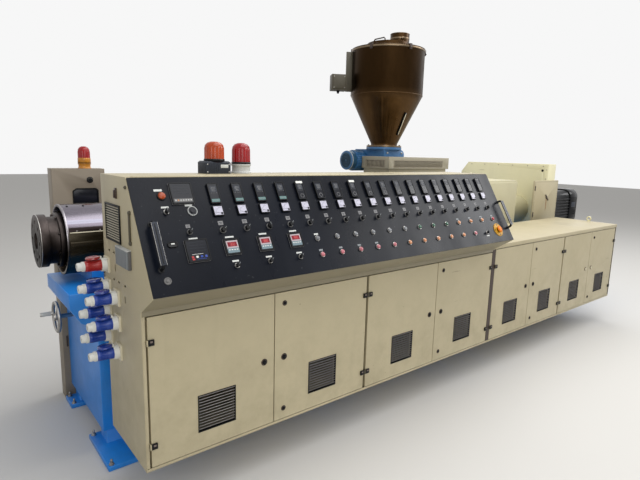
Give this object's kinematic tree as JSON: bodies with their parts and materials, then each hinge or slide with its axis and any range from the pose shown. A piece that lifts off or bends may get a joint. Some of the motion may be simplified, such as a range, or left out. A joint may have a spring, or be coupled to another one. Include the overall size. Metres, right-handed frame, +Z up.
{
  "type": "plastic extruder",
  "caption": "Single-screw plastic extruder: covered barrel with die flange, hopper, gearbox and motor on a base frame, beside a row of control cabinets with a sloping instrument console.",
  "frame": {"origin": "floor level, below the middle of the machine's box", "axes": "+X along the machine from the die flange to the motor, +Y away from the operator, +Z up"},
  "size_m": [5.85, 1.9306, 2.544],
  "materials": {
    "cabinet_paint": "satin",
    "panel_black": "satin",
    "frame_blue": "gloss",
    "polished_steel": "polished",
    "bare_steel": "satin",
    "dark_iron": "matte",
    "hopper_metal": "satin",
    "motor_black": "satin",
    "black_plastic": "satin",
    "white_plastic": "gloss",
    "instrument_grey": "satin",
    "plug_blue": "gloss",
    "stop_yellow": "gloss",
    "lens_orange": "clear"
  },
  "bodies": {
    "machine": {"cabinet_left_side": "cabinet_paint", "cabinet_right_side": "cabinet_paint", "drive_cabinet_sides": "cabinet_paint", "cabinet_floors": "cabinet_paint", "cabinet_backs": "cabinet_paint", "console_roof": "cabinet_paint", "console_sill": "cabinet_paint", "drive_cabinet_lid": "cabinet_paint", "lifting_eye": "bare_steel", "door_posts": "cabinet_paint", "side_fittings": "instrument_grey", "power_sockets": "white_plastic", "plugs": "plug_blue", "beacon_bases": "instrument_grey", "beacon_domes": "lens_orange", "base_frame": "frame_blue", "frame_feet": "frame_blue", "cabinet_arms": "frame_blue", "barrel_cover": "polished_steel", "die_flange": "dark_iron", "barrel_supports": "frame_blue", "feed_throat": "cabinet_paint", "rear_cabinet": "cabinet_paint", "feeder_housing": "cabinet_paint", "feeder_drive": "frame_blue", "hopper": "hopper_metal", "hopper_lid": "hopper_metal", "hopper_fittings": "cabinet_paint", "gearbox_cover": "cabinet_paint", "belt_guard": "cabinet_paint", "terminal_box": "cabinet_paint", "main_motor": "motor_black"},
    "door_1": {"door_1": "cabinet_paint"},
    "door_2": {"door_2": "cabinet_paint"},
    "door_3": {"door_3": "cabinet_paint"},
    "door_4": {"door_4": "cabinet_paint"},
    "door_5": {"door_5": "cabinet_paint"},
    "door_6": {"door_6": "cabinet_paint"},
    "door_7": {"door_7": "cabinet_paint"},
    "door_8": {"door_8": "cabinet_paint"},
    "operating_panel": {"console_panel": "panel_black", "panel_handles": "black_plastic", "temperature_controllers": "instrument_grey", "ammeters": "white_plastic", "selector_knobs": "black_plastic", "push_buttons": "white_plastic", "display_units": "instrument_grey", "emergency_stop": "stop_yellow"},
    "handwheel": {"handwheel": "bare_steel"}
  },
  "joints": [
    {"name": "door_1_hinge", "type": "hinge", "parent": "machine", "child": "door_1", "pos_m": [-2.7235, -0.83266, 0.59], "axis": [0, 0, -1], "range_deg": [0, 90]},
    {"name": "door_2_hinge", "type": "hinge", "parent": "machine", "child": "door_2", "pos_m": [-1.495, -0.83266, 0.59], "axis": [0, 0, 1], "range_deg": [0, 90]},
    {"name": "door_3_hinge", "type": "hinge", "parent": "machine", "child": "door_3", "pos_m": [-1.486, -0.83266, 0.59], "axis": [0, 0, -1], "range_deg": [0, 90]},
    {"name": "door_4_hinge", "type": "hinge", "parent": "machine", "child": "door_4", "pos_m": [-0.2575, -0.83266, 0.59], "axis": [0, 0, 1], "range_deg": [0, 90]},
    {"name": "door_5_hinge", "type": "hinge", "parent": "machine", "child": "door_5", "pos_m": [-0.2205, -0.83266, 0.59], "axis": [0, 0, -1], "range_deg": [0, 90]},
    {"name": "door_6_hinge", "type": "hinge", "parent": "machine", "child": "door_6", "pos_m": [0.834, -0.83266, 0.59], "axis": [0, 0, 1], "range_deg": [0, 90]},
    {"name": "door_7_hinge", "type": "hinge", "parent": "machine", "child": "door_7", "pos_m": [0.843, -0.83266, 0.59], "axis": [0, 0, -1], "range_deg": [0, 90]},
    {"name": "door_8_hinge", "type": "hinge", "parent": "machine", "child": "door_8", "pos_m": [1.8975, -0.83266, 0.59], "axis": [0, 0, 1], "range_deg": [0, 90]},
    {"name": "panel_lift", "type": "hinge", "parent": "machine", "child": "operating_panel", "pos_m": [-1.4905, -0.70331, 1.4728], "axis": [-1, 0, 0], "range_deg": [0, 60]},
    {"name": "handwheel_turn", "type": "hinge", "parent": "machine", "child": "handwheel", "pos_m": [-2.854, 0.20734, 0.663], "axis": [-1, 0, 0], "continuous": true}
  ]
}
